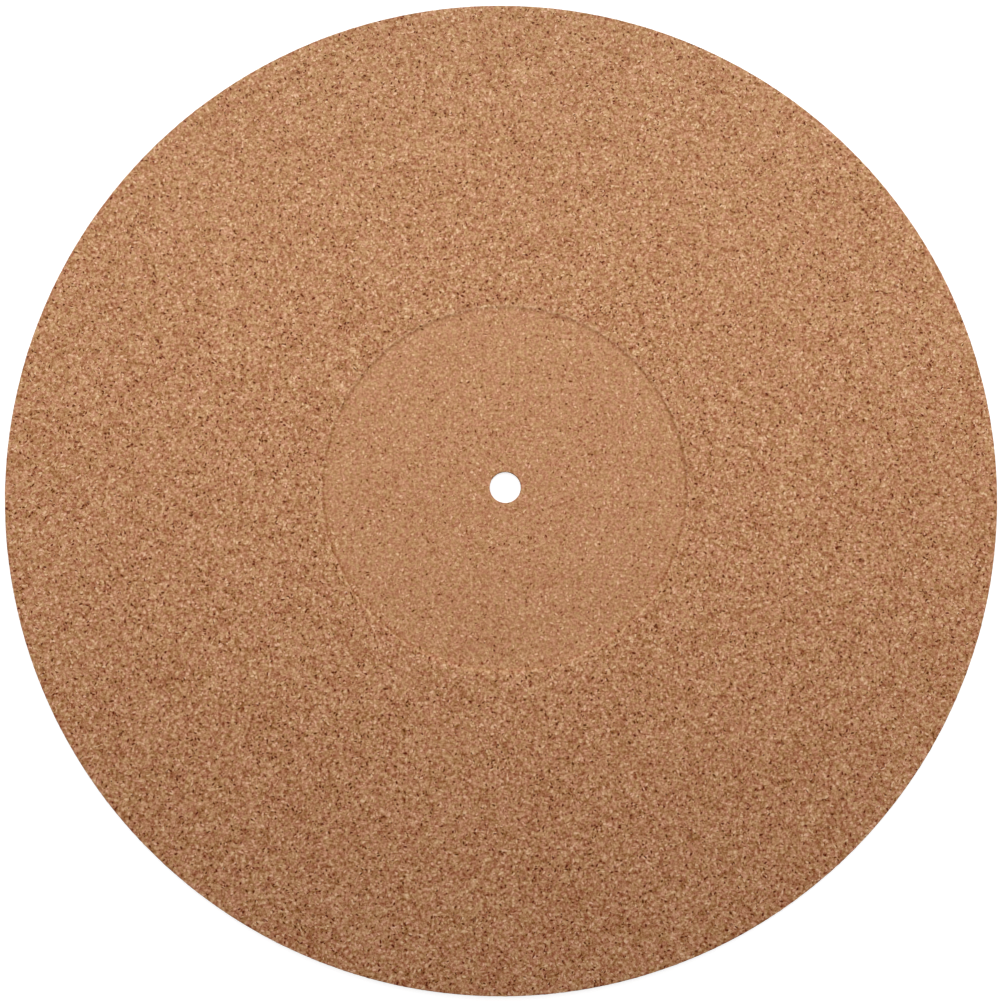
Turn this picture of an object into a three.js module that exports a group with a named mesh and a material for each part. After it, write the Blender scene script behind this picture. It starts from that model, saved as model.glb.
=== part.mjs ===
// A cork mat for the platter of a record player, cut and turned as one piece.
// It is a thin round sheet of pressed cork granules with a hole for the spindle, and a
// shallow round recess in its upper face that takes the thicker label area of a record.
//
// Millimetres, +Z up. The origin is the centre of the underside, on the axis of the spindle.

import * as THREE from "three";

// Driving dimensions
const MAT_DIAMETER = 300;
const MAT_THICKNESS = 3;
const RIM_EDGE_RADIUS = 0.3;

const SPINDLE_HOLE_DIAMETER = 9.4;
const HOLE_EDGE_RADIUS = 0.25;

// The recess has a sloping shoulder: its foot is a fillet and its lip is rounded over.
const RECESS_DIAMETER = 110.4; // across the middle of the shoulder
const RECESS_DEPTH = 0.6;
const SHOULDER_SLOPE = 35; // degrees above the recess floor
const FOOT_FILLET_RADIUS = 0.4;
const LIP_RADIUS = 0.5;

// How finely the round shapes are drawn
const STEPS_AROUND = 144;
const STEPS_PER_CORNER = 3;

const CORK = { color: 0xb2815d, roughness: 0.92, metalness: 0 };

// The points of a round corner: the arc of that radius that is tangent to both of its sides.
function cornerArc(before, corner, after, radius) {
  const towardsBefore = before.clone().sub(corner).normalize();
  const towardsAfter = after.clone().sub(corner).normalize();
  const halfAngle = Math.acos(towardsBefore.dot(towardsAfter)) / 2;
  const bisector = towardsBefore.clone().add(towardsAfter).normalize();
  const centre = corner.clone().addScaledVector(bisector, radius / Math.sin(halfAngle));

  const tangentLength = radius / Math.tan(halfAngle);
  const start = corner.clone().addScaledVector(towardsBefore, tangentLength).sub(centre);
  const end = corner.clone().addScaledVector(towardsAfter, tangentLength).sub(centre);
  const turn = Math.atan2(start.cross(end), start.dot(end));

  const arc = [];
  for (let step = 0; step <= STEPS_PER_CORNER; step++) {
    const angle = (turn * step) / STEPS_PER_CORNER;
    arc.push(start.clone().rotateAround(new THREE.Vector2(0, 0), angle).add(centre));
  }
  return arc;
}

// A closed outline with every corner rounded to its own radius.
function roundedOutline(corners) {
  const count = corners.length;
  const outline = corners.flatMap(({ at, radius }, i) =>
    cornerArc(corners[(i + count - 1) % count].at, at, corners[(i + 1) % count].at, radius),
  );
  outline.push(outline[0].clone());
  return outline;
}

// Half of the mat's section, as (distance from the axis, height), anticlockwise from the
// underside at the spindle hole.
function matSection() {
  const rim = MAT_DIAMETER / 2;
  const hole = SPINDLE_HOLE_DIAMETER / 2;
  const recessFloor = MAT_THICKNESS - RECESS_DEPTH;
  const slope = THREE.MathUtils.degToRad(SHOULDER_SLOPE);
  const shoulderHalfWidth = RECESS_DEPTH / Math.tan(slope) / 2;
  const foot = RECESS_DIAMETER / 2 - shoulderHalfWidth;
  const lip = RECESS_DIAMETER / 2 + shoulderHalfWidth;

  return roundedOutline([
    { at: new THREE.Vector2(hole, 0), radius: HOLE_EDGE_RADIUS },
    { at: new THREE.Vector2(rim, 0), radius: RIM_EDGE_RADIUS },
    { at: new THREE.Vector2(rim, MAT_THICKNESS), radius: RIM_EDGE_RADIUS },
    { at: new THREE.Vector2(lip, MAT_THICKNESS), radius: LIP_RADIUS },
    { at: new THREE.Vector2(foot, recessFloor), radius: FOOT_FILLET_RADIUS },
    { at: new THREE.Vector2(hole, recessFloor), radius: HOLE_EDGE_RADIUS },
  ]);
}

function platterMat() {
  const geometry = new THREE.LatheGeometry(matSection(), STEPS_AROUND);
  geometry.rotateX(Math.PI / 2); // the lathe turns about Y, and the mat stands on Z

  const mat = new THREE.Mesh(geometry, new THREE.MeshStandardMaterial(CORK));
  mat.name = "platter_mat";
  return mat;
}

const turntableMat = new THREE.Group();
turntableMat.add(platterMat());

export default turntableMat;
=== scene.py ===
# %% [markdown]
# # A cork mat for a record player
# The part is one thin round sheet of pressed cork with a spindle hole and a shallow recess for
# the record's label. The solid model already has every size, so this lesson adds only what a
# saw and a sheet of cork add: granules, open pores, a crumbly cut edge and the colour.

# %% Load the frame
import math
import random

import bmesh
import bpy
from mathutils import Matrix, Vector


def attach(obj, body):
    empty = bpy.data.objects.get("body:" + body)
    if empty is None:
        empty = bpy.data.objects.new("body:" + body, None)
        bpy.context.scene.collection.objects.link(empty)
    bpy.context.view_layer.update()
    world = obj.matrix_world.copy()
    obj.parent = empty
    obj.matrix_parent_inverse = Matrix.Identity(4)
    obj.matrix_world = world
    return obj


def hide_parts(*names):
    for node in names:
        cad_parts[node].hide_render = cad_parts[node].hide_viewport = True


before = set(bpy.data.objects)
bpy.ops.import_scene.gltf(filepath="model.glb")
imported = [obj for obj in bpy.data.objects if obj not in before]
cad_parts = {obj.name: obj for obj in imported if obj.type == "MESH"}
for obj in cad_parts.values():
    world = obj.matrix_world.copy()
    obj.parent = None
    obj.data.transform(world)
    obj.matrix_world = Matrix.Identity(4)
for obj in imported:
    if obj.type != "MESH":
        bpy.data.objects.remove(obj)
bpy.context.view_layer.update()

# %% [markdown]
# ## Reading the section
# The mat is a turned shape, so all of its form is in one section. It could be typed in again
# here, but then two files would hold the same sizes. It is read from the solid instead: the
# corners that lie on the +X side are the section, as pairs of radius and height.

# %% Read the section from the solid
MM = 0.001
TINY = 0.01 * MM

solid_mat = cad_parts["platter_mat"]
section = sorted(
    {
        (round(corner.co.x, 6), round(corner.co.z, 6))
        for corner in solid_mat.data.vertices
        if corner.co.x > 0 and abs(corner.co.y) < TINY
    }
)
THICKNESS = max(height for radius, height in section)
RIM = section[-1][0]
HOLE = section[0][0]
upper_section = [point for point in section if point[1] > THICKNESS / 2]
lower_section = [point for point in section if point[1] < THICKNESS / 2]

recess_heights = [height for radius, height in upper_section if radius < RIM / 10]
RECESS_FLOOR = max(recess_heights)
FOOT = max(radius for radius, height in section if abs(height - RECESS_FLOOR) < TINY)
LIP = min(radius for radius, height in section if abs(height - THICKNESS) < TINY)
print(f"rim {RIM / MM:.2f} mm, hole {HOLE / MM:.2f} mm, thickness {THICKNESS / MM:.2f} mm")
print(f"recess floor at {RECESS_FLOOR / MM:.2f} mm, shoulder {FOOT / MM:.2f} to {LIP / MM:.2f} mm")

# %% [markdown]
# ## Growing the sheet ring by ring
# Spinning the section would give as many faces round the small hole as round the rim: slivers
# at one end or blocks at the other. The sheet is grown from a circle instead. Each new ring is
# an extrusion that is scaled outwards, and where its edges get too long they are cut in half.
# The faces stay about as large as a cork granule, which the pores below need.

# %% A circle to start from, and a way to pull out one more ring
START_COUNT = 36
ring = {"radius": 0.0, "height": 0.0, "count": 0}


def start_ring(radius, height):
    """Adds a circle of edges at the spindle hole and opens it for editing."""
    bpy.ops.object.select_all(action="DESELECT")
    bpy.ops.mesh.primitive_circle_add(
        vertices=START_COUNT, radius=radius, location=(0, 0, height)
    )
    bpy.ops.object.transform_apply(location=True)
    bpy.ops.object.mode_set(mode="EDIT")
    bpy.ops.mesh.select_mode(type="EDGE")
    bpy.ops.mesh.select_all(action="SELECT")
    ring.update(radius=radius, height=height, count=START_COUNT)
    return bpy.context.object


def scale_outwards(factor):
    bpy.ops.transform.resize(value=(factor, factor, 1), center_override=(0, 0, 0))


def halve_edges():
    """Cuts every edge of the ring in two and puts the new points on the circle."""
    bpy.ops.mesh.subdivide(number_cuts=1)
    bpy.ops.transform.tosphere(value=1, center_override=(0, 0, ring["height"]))
    drawn_in = (1 + math.cos(math.pi / ring["count"])) / 2
    scale_outwards(1 / drawn_in)
    ring["count"] *= 2


def pull_ring(radius, height):
    bpy.ops.mesh.extrude_edges_move()
    scale_outwards(radius / ring["radius"])
    bpy.ops.transform.translate(value=(0, 0, height - ring["height"]))
    ring.update(radius=radius, height=height)


# %% Follow the section with rings
ROW = 1.5 * MM
WALL_ROW = 0.55 * MM
LONGEST_EDGE = 1.7 * MM
SHOULDER_EDGE = 0.7 * MM
CUT_EDGE = 0.9 * MM
UNDERSIDE_CELL = 3.2 * MM
CLOSEST_RINGS = 0.14 * MM
FINE_AT_RIM = 2 * MM
FINE_INSIDE_FOOT = 3 * MM
FINE_OUTSIDE_LIP = 1 * MM


def thinned(points):
    """Leaves out a point that lies too close to the one before to be shaken apart from it."""
    kept = [points[0]]
    for point in points[1:]:
        if math.dist(kept[-1], point) > CLOSEST_RINGS or point == points[-1]:
            kept.append(point)
    return kept


def follow(points, spacing, longest_edge):
    """Pulls rings along the section's points, no further apart than the spacing."""
    for radius, height in points:
        start = (ring["radius"], ring["height"])
        steps = max(1, round(math.dist(start, (radius, height)) / spacing(ring["radius"])))
        for step in range(1, steps + 1):
            if 2 * math.pi * ring["radius"] / ring["count"] > longest_edge(ring["radius"]):
                halve_edges()
            share = step / steps
            pull_ring(
                start[0] + (radius - start[0]) * share,
                start[1] + (height - start[1]) * share,
            )


def near_rim(radius):
    return radius > RIM - FINE_AT_RIM


def upper_spacing(radius):
    return WALL_ROW if radius < HOLE + TINY or radius > RIM - TINY else ROW


def upper_edge(radius):
    if near_rim(radius):
        return CUT_EDGE
    near_shoulder = FOOT - FINE_INSIDE_FOOT < radius < LIP + FINE_OUTSIDE_LIP
    return SHOULDER_EDGE if near_shoulder else LONGEST_EDGE


def lower_edge(radius):
    return CUT_EDGE if near_rim(radius) else UNDERSIDE_CELL


wall_start = lower_section[0]
upper_shell = start_ring(*wall_start)
follow(thinned(upper_section) + [lower_section[-1]], upper_spacing, upper_edge)
bpy.ops.object.mode_set(mode="OBJECT")
print("upper shell:", len(upper_shell.data.polygons), "faces,", ring["count"], "at the rim")

lower_shell = start_ring(*wall_start)
follow(lower_section[1:], lambda radius: UNDERSIDE_CELL, lower_edge)
bpy.ops.object.mode_set(mode="OBJECT")
print("underside:", len(lower_shell.data.polygons), "faces,", ring["count"], "at the rim")

# %% [markdown]
# ## Closing the sheet
# The two shells share one circle in the hole and one on the rim. Joined and welded there, they
# make a closed body, whose faces are then turned to point outwards.

# %% Join, weld and turn the faces outwards
upper_shell.select_set(True)
lower_shell.select_set(True)
bpy.context.view_layer.objects.active = upper_shell
bpy.ops.object.join()
cork_mat = upper_shell
cork_mat.name = cork_mat.data.name = "cork_mat"

bpy.ops.object.mode_set(mode="EDIT")
bpy.ops.mesh.select_mode(type="VERT")
bpy.ops.mesh.select_all(action="SELECT")
bpy.ops.mesh.remove_doubles(threshold=TINY)
bpy.ops.mesh.normals_make_consistent(inside=False)


def open_edges():
    """How many edges don't have two faces. A closed body has none."""
    return sum(not edge.is_manifold for edge in bmesh.from_edit_mesh(cork_mat.data).edges)


print("open edges:", open_edges())

# %% [markdown]
# ## Granules of every shape
# Pressed cork has no rows. Moving each point of the flat faces a little at random turns the
# rings into a crazed net of uneven cells. The points are then pressed back onto their plane,
# because the sheet was sanded flat after it was pressed.

# %% Select points by their place
DRAW_SEED = 34
draw = random.Random(DRAW_SEED)


def distance_out(co):
    return math.hypot(co.x, co.y)


def rounded_place(co):
    """A place to a tenth of a micrometre, to put points or faces in the same order every time."""
    return tuple(round(along, 7) for along in co)


def select_points(test, share=1.0, room=0.0):
    """Selects a share of the points that pass the test and have no edge shorter than the room."""
    mesh = bmesh.from_edit_mesh(cork_mat.data)
    bpy.ops.mesh.select_mode(type="VERT")
    bpy.ops.mesh.select_all(action="DESELECT")
    chosen = [point for point in mesh.verts if test(distance_out(point.co), point.co.z)]
    if share < 1:
        chosen.sort(key=lambda point: rounded_place(point.co))
        chosen = [point for point in chosen if draw.random() <= share]
    if room:
        chosen = [
            point for point in chosen
            if min(edge.calc_length() for edge in point.link_edges) > room
        ]
    for point in chosen:
        point.select_set(True)
    mesh.select_flush(True)
    bmesh.update_edit_mesh(cork_mat.data)
    return len(chosen)


def press_onto(height):
    """Flattens the selected points onto a level plane."""
    bpy.ops.transform.resize(value=(1, 1, 0), center_override=(0, 0, height))


def press_back(stands_out, height):
    """Presses the points that stand out of a flat face back onto it."""
    if select_points(stands_out):
        press_onto(height)


# %% Shake the flat faces
EDGE_BAND = 0.5 * MM
FACE_SHAKE = 0.30 * MM
RECESS_SHAKE = 0.28 * MM
UNDERSIDE_SHAKE = 0.9 * MM


def shake_plane(height, inner, outer, amount, seed):
    """Shifts the points of one flat face at random within their plane."""
    count = select_points(lambda r, z: inner < r < outer and abs(z - height) < TINY)
    bpy.ops.transform.vertex_random(offset=amount, seed=seed)
    press_onto(height)
    print(f"shook {count} points at {height / MM:.2f} mm")


shake_plane(THICKNESS, LIP + EDGE_BAND, RIM - 2 * EDGE_BAND, FACE_SHAKE, seed=3)
shake_plane(RECESS_FLOOR, HOLE + 2 * EDGE_BAND, FOOT - EDGE_BAND, RECESS_SHAKE, seed=5)
shake_plane(0, HOLE + 2 * EDGE_BAND, RIM - 3 * EDGE_BAND, UNDERSIDE_SHAKE, seed=8)

# %% [markdown]
# ## Cut edges
# A cutter doesn't leave cork smooth: the lip of the recess is ragged where granules broke away,
# and the rim shows them cut through. The walls are drawn in a little first, and what stands
# above or below the faces is pressed back, so that the shaking never makes the mat larger than
# its solid.

# %% Roughen the shoulder of the recess, the rim and the hole
SHOULDER_SHAKE = 0.09 * MM
WALL_SHAKE = 0.05 * MM
ALONG_RIM_SHAKE = 0.2 * MM
WALL_BAND = 0.35 * MM
UPRIGHT_FROM, UPRIGHT_TO = 0.15, 0.9  # the rim's upright wall, in shares of the thickness


def on_shoulder(r, z):
    return FOOT - EDGE_BAND < r < LIP + EDGE_BAND and z > THICKNESS / 2


def on_outer_wall(r, z):
    return r > RIM - WALL_BAND


def on_hole_wall(r, z):
    return r < HOLE + WALL_BAND


def on_rim_wall(r, z):
    return r > RIM - 2 * WALL_SHAKE and UPRIGHT_FROM < z / THICKNESS < UPRIGHT_TO


def shake_along_rim(amount, seed):
    """Shifts the points of the rim's upright wall along it, and puts them back on the circle."""
    count = select_points(on_rim_wall)
    bpy.ops.transform.vertex_random(offset=amount, seed=seed)
    mesh = bmesh.from_edit_mesh(cork_mat.data)
    shaken = sorted((p for p in mesh.verts if p.select), key=lambda p: rounded_place(p.co))
    for point in shaken:
        back = (RIM - draw.uniform(0, WALL_SHAKE)) / distance_out(point.co)
        point.co = (point.co.x * back, point.co.y * back, point.co.z)
    bmesh.update_edit_mesh(cork_mat.data)
    print(f"shook {count} points along the rim")


select_points(on_shoulder)
bpy.ops.transform.vertex_random(offset=SHOULDER_SHAKE, seed=13)
press_back(lambda r, z: z > THICKNESS, THICKNESS)
print("points on the rim's wall:", select_points(on_outer_wall))
scale_outwards(1 - WALL_SHAKE / RIM)
bpy.ops.transform.vertex_random(offset=WALL_SHAKE, seed=21)
shake_along_rim(ALONG_RIM_SHAKE, seed=89)
print("points on the hole's wall:", select_points(on_hole_wall))
bpy.ops.transform.vertex_random(offset=WALL_SHAKE, seed=55)
press_back(lambda r, z: z < 0, 0)

# %% [markdown]
# ## Open pores
# Where granules don't quite meet, the sheet has a tiny pit, and where the sander tore one out it
# has a larger one. Drawing them all in the material would be quicker, but a real hole holds a
# shadow from every side. A small pit is a point that is bevelled into a face, and a large one is
# a face that is inset. Both are then inset once more while they are pushed in, which slants
# their walls. A number on each point of a pit's floor, the attribute "pore", says how strong a
# painted shade the material lays there, on top of the pit's real shadow.

# %% The floors of the pits are pushed in and marked
bmesh.from_edit_mesh(cork_mat.data).verts.layers.float.new("pore")

JUNCTION_SLANT = 0.25  # how far the walls slant, in shares of the pit's reach
TORN_SLANT = 0.3  # the same, in shares of the border that is left
LARGEST_JUNCTION = 4  # the area of a bevelled point at most, in squared reaches
ROOM_TO_TEAR = 2.4  # the shortest edge that a torn face may have, in borders


def sink_selected_faces(slant, depth, pit_painted_shade):
    """Insets the selected faces while it pushes them in, and marks their points with a painted
    shade.
    """
    bpy.ops.mesh.inset(thickness=slant, depth=-depth, use_individual=True)
    mesh = bmesh.from_edit_mesh(cork_mat.data)
    pore = mesh.verts.layers.float["pore"]
    floors = [face for face in mesh.faces if face.select]
    for face in floors:
        for point in face.verts:
            # how strong the painted shade of the pit's floor is
            point[pore] = pit_painted_shade
    return len(floors)


def select_small_faces(largest):
    """Keeps only the selected faces below an area."""
    mesh = bmesh.from_edit_mesh(cork_mat.data)
    bpy.ops.mesh.select_mode(type="FACE")
    for face in mesh.faces:
        if face.select and face.calc_area() > largest:
            face.select_set(False)
    bmesh.update_edit_mesh(cork_mat.data)


def open_junctions(test, share, reach, depth, pit_painted_shade=1.0):
    """Sinks a small pit at some of the points where granules meet."""
    select_points(test, share, 2 * reach)
    bpy.ops.mesh.bevel(offset=reach, affect="VERTICES")
    select_small_faces(LARGEST_JUNCTION * reach**2)
    return sink_selected_faces(JUNCTION_SLANT * reach, depth, pit_painted_shade)


def tear_out_granules(test, share, left, depth, pit_painted_shade):
    """Sinks a larger pit in some of the faces, with the border that is left around it."""
    mesh = bmesh.from_edit_mesh(cork_mat.data)
    bpy.ops.mesh.select_mode(type="FACE")
    bpy.ops.mesh.select_all(action="DESELECT")
    pore = mesh.verts.layers.float["pore"]
    centres = [(rounded_place(face.calc_center_median()), face) for face in mesh.faces]
    centres = [pair for pair in centres if test(math.hypot(*pair[0][:2]), pair[0][2])]
    for centre, face in sorted(centres, key=lambda pair: pair[0]):
        if draw.random() > share:
            continue
        narrow = min(edge.calc_length() for edge in face.edges) < ROOM_TO_TEAR * left
        if not narrow and not any(point[pore] for point in face.verts):
            face.select_set(True)
    bmesh.update_edit_mesh(cork_mat.data)
    bpy.ops.mesh.inset(thickness=left, use_individual=True)
    return sink_selected_faces(TORN_SLANT * left, depth, pit_painted_shade)


# %% Where pits may be
SLOPE_MARGIN = 0.1 * MM


def on_record_face(r, z):
    return LIP + EDGE_BAND < r < RIM - 2 * EDGE_BAND and z > THICKNESS - TINY


def on_recess_floor(r, z):
    return HOLE + 2 * EDGE_BAND < r < FOOT - EDGE_BAND and abs(z - RECESS_FLOOR) < TINY


def on_underside(r, z):
    return HOLE + 2 * EDGE_BAND < r < RIM - 3 * EDGE_BAND and z < TINY


def on_slope(r, z):
    below_lip = THICKNESS - z
    return FOOT < r < LIP and SLOPE_MARGIN < below_lip < THICKNESS - RECESS_FLOOR - SLOPE_MARGIN


# %% Pits in the two faces, the recess, the shoulder and the rim
pits = {
    "face, small": open_junctions(
        on_record_face, share=0.040, reach=0.20 * MM, depth=0.30 * MM
    ),
    "face, medium": open_junctions(
        on_record_face, share=0.012, reach=0.28 * MM, depth=0.40 * MM
    ),
    "face, torn": tear_out_granules(
        on_record_face, share=0.018, left=0.30 * MM, depth=0.25 * MM, pit_painted_shade=0.75
    ),
    "recess, small": open_junctions(
        on_recess_floor, share=0.025, reach=0.17 * MM, depth=0.12 * MM, pit_painted_shade=0.3
    ),
    "slope": tear_out_granules(
        on_slope, share=0.12, left=0.12 * MM, depth=0.12 * MM, pit_painted_shade=0.5
    ),
    "rim, small": open_junctions(
        on_rim_wall, share=0.06, reach=0.16 * MM, depth=0.30 * MM, pit_painted_shade=0.9
    ),
    "rim, torn": tear_out_granules(
        on_rim_wall, share=0.05, left=0.13 * MM, depth=0.30 * MM, pit_painted_shade=0.8
    ),
    "underside": open_junctions(
        on_underside, share=0.06, reach=0.30 * MM, depth=0.35 * MM
    ),
}
print("pits:", pits, "open edges:", open_edges())
bpy.ops.object.mode_set(mode="OBJECT")

# %% [markdown]
# ## A surface that isn't quite flat
# Granules of different hardness spring back by different amounts after sanding. Two Displace
# modifiers with cloud textures push the surface in by a few hundredths of a millimetre, never
# out, so that the mat stays inside the solid's box. A few points in the pits face down and are
# pushed up by that, so what stands out of the face is pressed back at the end.


# %% Displace and apply
def press_in(name, grain, depth):
    """Presses the surface in by up to the depth, in waves of about the grain's size."""
    texture = bpy.data.textures.new(name, "CLOUDS")
    texture.noise_scale = grain
    texture.noise_depth = 1
    bpy.ops.object.modifier_add(type="DISPLACE")
    modifier = cork_mat.modifiers[-1]
    modifier.texture = texture
    modifier.strength = depth
    modifier.mid_level = 1
    bpy.ops.object.modifier_apply(modifier=modifier.name)


press_in("spring_back", grain=1.6 * MM, depth=0.035 * MM)
press_in("sanding_waves", grain=14 * MM, depth=0.04 * MM)

SHARP_FROM = 40  # degrees between two faces

bpy.ops.object.mode_set(mode="EDIT")
press_back(lambda r, z: z > THICKNESS, THICKNESS)
bpy.ops.object.mode_set(mode="OBJECT")
bpy.ops.object.shade_smooth_by_angle(angle=math.radians(SHARP_FROM))
cork_mat.data.calc_loop_triangles()
print("triangles:", len(cork_mat.data.loop_triangles))

# %% [markdown]
# ## A flat pattern of the mat
# The finished colours may be stored on a square picture, so the mat needs a map that wastes
# little of it. The face, with both walls folded flat, is one large disc, and the underside is
# a small disc in the corner that the large one leaves free.

# %% Lay the mat out flat
FACE_SHARE = 0.41
UNDERSIDE_SHARE = 0.165
MARGIN = 0.005
FACES_DOWN = -0.3  # the normal's Z below which a face belongs to the underside


def flat_place(co, below):
    """Where a point of the mat lies on the map."""
    out = distance_out(co)
    along = out
    if below:
        reach, share, middle = RIM, UNDERSIDE_SHARE, 1 - UNDERSIDE_SHARE - MARGIN
    else:
        reach, share, middle = RIM + THICKNESS, FACE_SHARE, FACE_SHARE + MARGIN
        if out > RIM - EDGE_BAND:
            along += max(0.0, THICKNESS - co.z)
        elif out < HOLE + EDGE_BAND:
            along -= max(0.0, RECESS_FLOOR - co.z)
    factor = share * along / (reach * out)
    return middle + co.x * factor, middle + co.y * factor


flat_map = cork_mat.data.uv_layers.new(name="OFBake")
for face in cork_mat.data.polygons:
    below = face.center.z < THICKNESS / 2 and face.normal.z < FACES_DOWN
    for corner in face.loop_indices:
        point = cork_mat.data.vertices[cork_mat.data.loops[corner].vertex_index]
        flat_map.data[corner].uv = flat_place(point.co, below)
print("map laid out:", len(flat_map.data), "corners")

# %% [markdown]
# ## The colour of pressed cork
# Up close the sheet is a jumble of granules about a millimetre across. They are all one brown,
# but each is a little darker or lighter, the gaps between them are the darkest, and a few hard
# bits of bark or pale wood stand out. The pattern is solid: it reads the place in space, not
# on the surface, so the cut walls and the pores show cut granules too.


# %% A helper that adds and joins nodes
class Wiring:
    """Adds nodes to one node tree. An input is a number, a colour or another node's output."""

    def __init__(self, tree):
        self.tree = tree

    def feed(self, socket, value):
        if isinstance(value, bpy.types.NodeSocket):
            self.tree.links.new(value, socket)
        else:
            socket.default_value = value

    def add(self, kind, inputs, **settings):
        made = self.tree.nodes.new("ShaderNode" + kind)
        for name, value in settings.items():
            setattr(made, name, value)
        for name, value in inputs.items():
            self.feed(made.inputs[name], value)
        return made

    def math(self, operation, *values):
        return self.add("Math", dict(enumerate(values)), operation=operation).outputs[0]

    def vector(self, operation, *values):
        made = self.add("VectorMath", dict(enumerate(values)), operation=operation)
        return made.outputs["Value" if operation == "LENGTH" else "Vector"]


cork = bpy.data.materials.new("cork")
cork.use_nodes = True
wires = Wiring(cork.node_tree)
surface = cork.node_tree.nodes["Principled BSDF"]
place = wires.add("TexCoord", {}).outputs["Object"]


# %% [markdown]
# ### Granules that lie every way
# A plain noise has round, even lumps. Cork chips are flakes, and each lies its own way. So the
# place is first bent by a noise, then cut into cells, one to a flake. Each cell gives three
# random numbers, and inside it the place is turned by one of them and squeezed. A noise that
# reads this new place has short streaks in every direction, with a break between flakes.


# %% Bent and turned places
def noise(size, vector, detail=1.0):
    """A soft random pattern with lumps of about that size."""
    made = wires.add("TexNoise", {"Vector": vector, "Scale": 1 / size, "Detail": detail})
    return made.outputs[0]


def cells(size, vector):
    """Cells of about that size: how far the middle of the cell is, and three random numbers."""
    made = wires.add("TexVoronoi", {"Vector": vector, "Scale": 1 / size})
    chances = wires.add("SeparateColor", {"Color": made.outputs["Color"]})
    return made.outputs["Distance"], chances.outputs


BEND = 0.5 * MM
BEND_SIZE = 1.1 * MM
three_noises = wires.add("TexNoise", {"Vector": place, "Scale": 1 / BEND_SIZE, "Detail": 0.0})
wobble = wires.vector("SUBTRACT", three_noises.outputs["Color"], (0.5, 0.5, 0.5))
bent_place = wires.vector("MULTIPLY_ADD", wobble, (BEND, BEND, BEND), place)

FLAKE = 1.2 * MM
FLAKE_WIDTH = 0.5  # as a share of its length
FULL_TURN = 2 * math.pi
flake_chances = cells(FLAKE, bent_place)[1]
own_hue, own_richness, own_turn = flake_chances
turn = wires.add("CombineXYZ", {"Z": wires.math("MULTIPLY", own_turn, FULL_TURN)})
turned = wires.add(
    "VectorRotate", {"Vector": place, "Rotation": turn.outputs[0]}, rotation_type="EULER_XYZ"
)
flake_place = wires.vector("MULTIPLY", turned.outputs[0], (1, FLAKE_WIDTH, 1))
print(f"flakes of {FLAKE / MM:.1f} mm, bent by up to {BEND / 2 / MM:.2f} mm")

# %% [markdown]
# ### Bits of bark and pale wood
# A cork oak's bark isn't pure, so dark crumbs of the outer bark and pale bits of wood are ground
# up with it. A second, finer net of cells gives them. One random number decides whether a cell
# is dark, pale or neither, and a second one how strong it is. The blot fades out before it
# reaches the border of its cell, so that no cell shows as a whole.

# %% Specks: dark bark and pale wood
SPECK = 0.84 * MM
BLOT_EDGE = 0.45
BLOT_CORE = 0.20
BARK_SHARE = 0.36
PALE_SHARE = 0.36

speck_distance, speck_chances = cells(SPECK, flake_place)
chance, strength = speck_chances[:2]
blot = wires.add(
    "MapRange",
    {"Value": speck_distance, "From Min": BLOT_EDGE, "From Max": BLOT_CORE},
    interpolation_type="SMOOTHSTEP",
).outputs[0]
blot = wires.math("MULTIPLY", blot, strength)
bark = wires.math("MULTIPLY", wires.math("LESS_THAN", chance, BARK_SHARE), blot)
pale_wood = wires.math("MULTIPLY", wires.math("GREATER_THAN", chance, 1 - PALE_SHARE), blot)
print(f"of 100 cells {100 * BARK_SHARE:.0f} are bark and {100 * PALE_SHARE:.0f} are pale wood")


# %% Give each pattern its weight
def centred(pattern, weight):
    """A pattern from 0 to 1, moved so that its middle is 0 and made as strong as the weight."""
    return wires.math("MULTIPLY_ADD", pattern, weight, -weight / 2)


LUMP, LUMP_WEIGHT = 0.82 * MM, 1.22
STROKE, STROKE_WEIGHT = 0.65 * MM, 0.94
MOTTLE, MOTTLE_WEIGHT = 20 * MM, 0.05
PALE_WEIGHT = 0.76

lumps = noise(LUMP, place, detail=2.0)
soft_grain = centred(lumps, LUMP_WEIGHT)
strokes = centred(noise(STROKE, flake_place), STROKE_WEIGHT)
strokes = wires.math("MULTIPLY_ADD", pale_wood, PALE_WEIGHT, strokes)
mottling = centred(noise(MOTTLE, place), MOTTLE_WEIGHT)
print("nodes for the patterns:", len(cork.node_tree.nodes))

# %% [markdown]
# ### A calmer, paler recess
# The floor of the recess was cut with a finer tool than the sander's, so its granules differ
# less from each other. There the patterns are weakened, the bark most, and the middle tone is a
# little paler. The mask for it is the distance from the spindle. The underside has no recess,
# so the distance is made longer there than any in the recess. Towards the near edge the
# granules differ more from each other, and further on a painted tint of the light makes the
# browns redder and richer there and yellower and less rich at the far edge.

# %% Weaker grain in the recess, stronger grain at the near edge
SOFT_IN_RECESS = 0.72
STROKES_IN_RECESS = 0.70
BARK_IN_RECESS, BARK_ON_FACE = -0.54, -0.98
RECESS_TONE, FACE_TONE = 0.57, 0.54
GRAIN_AT_FAR_EDGE, GRAIN_AT_NEAR_EDGE = 0.915, 1.155

sideways, away_from_us, height = wires.add("SeparateXYZ", {0: place}).outputs
underneath = wires.math("LESS_THAN", height, THICKNESS / 3)
level = wires.vector("MULTIPLY", place, (1, 1, 0))
out_from_spindle = wires.math("MULTIPLY_ADD", underneath, RIM, wires.vector("LENGTH", level))


def from_recess_to_face(in_recess, on_face):
    """A value that changes over the shoulder of the recess."""
    return wires.add(
        "MapRange",
        {"Value": out_from_spindle, "From Min": FOOT, "From Max": LIP,
         "To Min": in_recess, "To Max": on_face},
        interpolation_type="SMOOTHSTEP",
    ).outputs[0]


def from_far_to_near(at_far_edge, at_near_edge):
    """A value that changes evenly from the far edge of the mat to the near one."""
    return wires.add(
        "MapRange",
        {"Value": away_from_us, "From Min": RIM, "From Max": -RIM,
         "To Min": at_far_edge, "To Max": at_near_edge},
    ).outputs[0]


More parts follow.
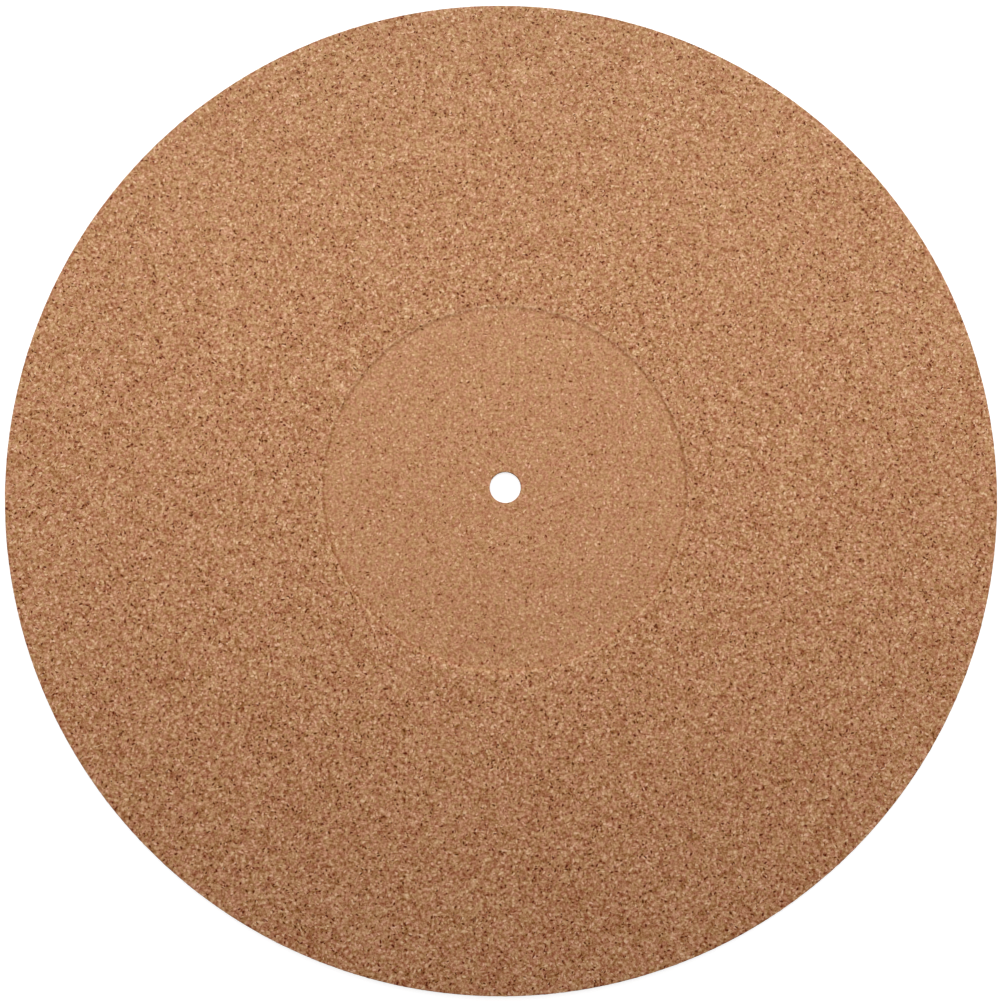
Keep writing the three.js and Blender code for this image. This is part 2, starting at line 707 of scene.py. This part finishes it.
grain = wires.math("MULTIPLY", soft_grain, from_recess_to_face(SOFT_IN_RECESS, 1.0))
grain = wires.math("MULTIPLY_ADD", strokes, from_recess_to_face(STROKES_IN_RECESS, 1.0), grain)
bark_weight = from_recess_to_face(BARK_IN_RECESS, BARK_ON_FACE)
grain = wires.math("MULTIPLY_ADD", bark, bark_weight, grain)
middle = wires.math("ADD", mottling, from_recess_to_face(RECESS_TONE, FACE_TONE))
mixing = from_far_to_near(GRAIN_AT_FAR_EDGE, GRAIN_AT_NEAR_EDGE)
tone = wires.math("MULTIPLY_ADD", grain, mixing, middle)

# %% [markdown]
# ### The foot and the lip of the shoulder
# A painted shade darkens the corner at the foot, and a painted highlight makes the lip paler.
# Both are thin bands round the spindle. Their distance is made to wander a little, or
# they would look drawn with a compass. The painted shade at the foot is stronger at the left
# and the right than towards the far and the near edge.


# %% Two thin, uneven bands
def band(radius, half_width):
    """A mask that is 1 at a distance from the spindle and fades to both sides."""
    away = wires.math("ABSOLUTE", wires.math("SUBTRACT", wandering, radius))
    return wires.add(
        "MapRange", {"Value": away, "From Max": half_width, "To Min": 1.0, "To Max": 0.0},
        interpolation_type="SMOOTHSTEP",
    ).outputs[0]


WANDER, WANDER_SIZE = 0.8 * MM, 1.6 * MM
ELSEWHERE = (0.4, 0.6, 0.1)  # another part of the noise than the grain shows
# The painted shade at the foot and the painted highlight on the lip, as changes of tone
FOOT_SHADE_FAR_AND_NEAR = 0.1
FOOT_SHADE_TONE, LIP_HIGHLIGHT_TONE = -0.19, 0.13

elsewhere = wires.vector("ADD", place, ELSEWHERE)
ragged = centred(noise(WANDER_SIZE, elsewhere), WANDER)
wandering = wires.math("ADD", out_from_spindle, ragged)
foot_shade_to_the_sides = wires.add(
    "MapRange",
    {"Value": wires.math("ABSOLUTE", sideways), "From Max": FOOT,
     "To Min": FOOT_SHADE_FAR_AND_NEAR, "To Max": 1.0},
).outputs[0]
# Painted shade along the foot of the shoulder, strongest at the left and the right
painted_foot_shade = wires.math("MULTIPLY", band(FOOT + 0.1 * MM, 0.7 * MM), foot_shade_to_the_sides)
# Painted highlight along the lip of the shoulder
painted_lip_highlight = band(LIP - 0.15 * MM, 0.6 * MM)
tone = wires.math("MULTIPLY_ADD", painted_foot_shade, FOOT_SHADE_TONE, tone)
tone = wires.math("MULTIPLY_ADD", painted_lip_highlight, LIP_HIGHLIGHT_TONE, tone)

# %% [markdown]
# ### From tone to colour
# So far there is only one number at each place, from dark to pale. A colour ramp turns it into
# browns that were judged, from bark to pale wood, and a last node gives each flake its
# own shade of them.

# %% The browns of cork, from dark to pale
CORK_TONES = {
    0.00: (94, 38, 8),
    0.12: (128, 68, 28),
    0.24: (146, 90, 50),
    0.36: (160, 105, 66),
    0.52: (178, 127, 88),
    0.68: (196, 147, 108),
    0.82: (208, 161, 123),
    1.00: (226, 186, 151),
}


def linear(colour):
    """A colour as a screen shows it, 0 to 255, turned into the light that it stands for."""
    parts = [part / 255 for part in colour]
    return [p / 12.92 if p < 0.04045 else ((p + 0.055) / 1.055) ** 2.4 for p in parts] + [1]


tones = wires.add("ValToRGB", {"Fac": tone})
stops = tones.color_ramp.elements
while len(stops) < len(CORK_TONES):
    stops.new(0.5)
for stop, (position, colour) in zip(stops, sorted(CORK_TONES.items())):
    stop.position = position
    stop.color = linear(colour)

# %% No two granules have quite the same brown
OWN_HUE = 0.021
OWN_RICHNESS = 0.020
# A painted tint of the light: yellower and less rich at the far edge, redder and richer at the
# near edge
LIGHT_TINT_HUE_FAR, LIGHT_TINT_HUE_NEAR = 0.502, 0.4965  # 0.5 leaves a colour as it is
LIGHT_TINT_RICHNESS_FAR, LIGHT_TINT_RICHNESS_NEAR = 0.985, 1.03

# Painted tint of the light, from the far edge to the near one
painted_light_hue = from_far_to_near(LIGHT_TINT_HUE_FAR, LIGHT_TINT_HUE_NEAR)
hue = wires.math("ADD", centred(own_hue, OWN_HUE), painted_light_hue)
painted_light_richness = from_far_to_near(LIGHT_TINT_RICHNESS_FAR, LIGHT_TINT_RICHNESS_NEAR)
saturation = wires.math("ADD", centred(own_richness, OWN_RICHNESS), painted_light_richness)
browns = wires.add(
    "HueSaturation", {"Color": tones.outputs[0], "Hue": hue, "Saturation": saturation}
).outputs[0]

# %% [markdown]
# ### Dark pits, fine relief and a matt finish
# The pits get a painted shade: a darker brown, as strong as the number that their points
# carry, on top of the real shadow of their walls. The noise that makes the grain also lifts it
# a little in a Bump node, so that what is pale stands up. The pale, waxy granules are a trace
# less matt than the crumbly dark ones.

# %% Finish the surface
# A darker brown painted into the pits as shade, on top of their real shadow
PIT_SHADE_COLOUR = (132, 75, 42)
RELIEF = 0.02 * MM
ROUGH_DARK, ROUGH_PALE = 0.97, 0.84
MIX_A, MIX_B, MIX_RESULT = 6, 7, 2  # the colour sockets of a Mix node

# Painted shade in the pits, as strong as the number on their points
painted_pit_shade = wires.add("Attribute", {}, attribute_name="pore").outputs["Fac"]
darkened = wires.add(
    "Mix", {0: painted_pit_shade, MIX_A: browns, MIX_B: linear(PIT_SHADE_COLOUR)}, data_type="RGBA"
)
relief = wires.add("Bump", {"Height": lumps, "Strength": 1.0, "Distance": RELIEF})
matt = wires.add("MapRange", {"Value": tone, "To Min": ROUGH_DARK, "To Max": ROUGH_PALE})

wires.feed(surface.inputs["Base Color"], darkened.outputs[MIX_RESULT])
wires.feed(surface.inputs["Normal"], relief.outputs[0])
wires.feed(surface.inputs["Roughness"], matt.outputs[0])
surface.inputs["Specular IOR Level"].default_value = 0.3

cork_mat.data.materials.clear()
cork_mat.data.materials.append(cork)
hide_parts("platter_mat")
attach(cork_mat, "root")
print("nodes in the cork material:", len(cork.node_tree.nodes))

# %% [markdown]
# ## The floor and the light
# The mat lies on plain white, so the floor and the world show white to the camera by the Is
# Camera Ray switch and not by more light. The floor's own glow is weaker close to the mat, or it
# would wash out the mat's shadow, and stronger where the lamps no longer reach. A long soft lamp
# stands low behind the far side and rakes over the grain and the shoulder, another hangs above,
# and the world fills in.

# %% Floor
FLOOR_SIZE = 8
FLOOR_HEIGHT = -0.02 * MM
FLOOR_GREY = 0.5
NEAR_GLOW, NEAR = 0.75, 0.3  # the strength of the glow, and how far out it starts to grow
FAR_GLOW, FAR = 0.88, 1.2

bpy.ops.object.select_all(action="DESELECT")
bpy.ops.mesh.primitive_plane_add(size=FLOOR_SIZE, location=(0, 0, FLOOR_HEIGHT))
floor = bpy.context.object
floor.name = "floor"

floor_material = bpy.data.materials.new("floor_white")
floor_material.use_nodes = True
floor_material.node_tree.nodes.clear()
wires = Wiring(floor_material.node_tree)
seen = wires.add("LightPath", {}).outputs["Is Camera Ray"]
diffuse = wires.add("BsdfDiffuse", {"Color": (FLOOR_GREY, FLOOR_GREY, FLOOR_GREY, 1)})
how_far = wires.vector("LENGTH", wires.add("TexCoord", {}).outputs["Object"])
glow_strength = wires.add(
    "MapRange",
    {"Value": how_far, "From Min": NEAR, "From Max": FAR, "To Min": NEAR_GLOW, "To Max": FAR_GLOW},
).outputs[0]
glow = wires.add("Emission", {"Strength": wires.math("MULTIPLY", seen, glow_strength)})
both = wires.add("AddShader", {0: diffuse.outputs[0], 1: glow.outputs[0]})
wires.add("OutputMaterial", {"Surface": both.outputs[0]})
floor.data.materials.append(floor_material)

# %% World and lamps
FILL = 0.27

world = bpy.data.worlds.new("white_room")
bpy.context.scene.world = world
world.use_nodes = True
wires = Wiring(world.node_tree)
seen = wires.add("LightPath", {}).outputs["Is Camera Ray"]
background = world.node_tree.nodes["Background"]
background.inputs["Color"].default_value = (1, 1, 1, 1)
wires.feed(background.inputs["Strength"], wires.math("MAXIMUM", seen, FILL))


def facing(start, goal):
    """The turn that points a lamp or camera at its goal, with +Y of the floor upwards."""
    forward = (Vector(goal) - Vector(start)).normalized()
    right = forward.cross(Vector((0, 1, 0))).normalized()
    up = right.cross(forward)
    return Matrix((right, up, -forward)).transposed().to_euler()


def strip_lamp(name, place, length, width, watts):
    """A long soft lamp that faces the middle of the mat."""
    bpy.ops.object.light_add(type="AREA", location=place, rotation=facing(place, (0, 0, 0)))
    lamp = bpy.context.object
    lamp.name = name
    lamp.data.shape = "RECTANGLE"
    lamp.data.size = length
    lamp.data.size_y = width
    lamp.data.energy = watts
    lamp.visible_camera = False
    print(f"{name}: {length:.2f} by {width:.2f} m, {watts:.2f} W")


strip_lamp("low_strip", place=(0.14, 0.80, 0.28), length=1.0, width=0.30, watts=1.51)
strip_lamp("high_strip", place=(0.0, 0.102, 0.28), length=0.9, width=0.27, watts=1.48)
bpy.context.scene.view_settings.view_transform = "Standard"

# %% [markdown]
# ## The camera
# It looks down on the mat from a few centimetres nearer to us than straight above. The rim still
# looks round, but the spindle hole lies a little above the middle of the picture. A camera
# further away would have to be tilted more for that, and would flatten the rim.

# %% Camera
CAMERA_PLACE = (-6.37 * MM, -20.35 * MM, 296.44 * MM)
CAMERA_AIM = (-1.32 * MM, -4.19 * MM, 3.0 * MM)

bpy.ops.object.camera_add(location=CAMERA_PLACE, rotation=facing(CAMERA_PLACE, CAMERA_AIM))
camera = bpy.context.object
camera.name = "camera"
camera.data.lens = 35
camera.data.clip_start = 0.01
bpy.context.scene.camera = camera
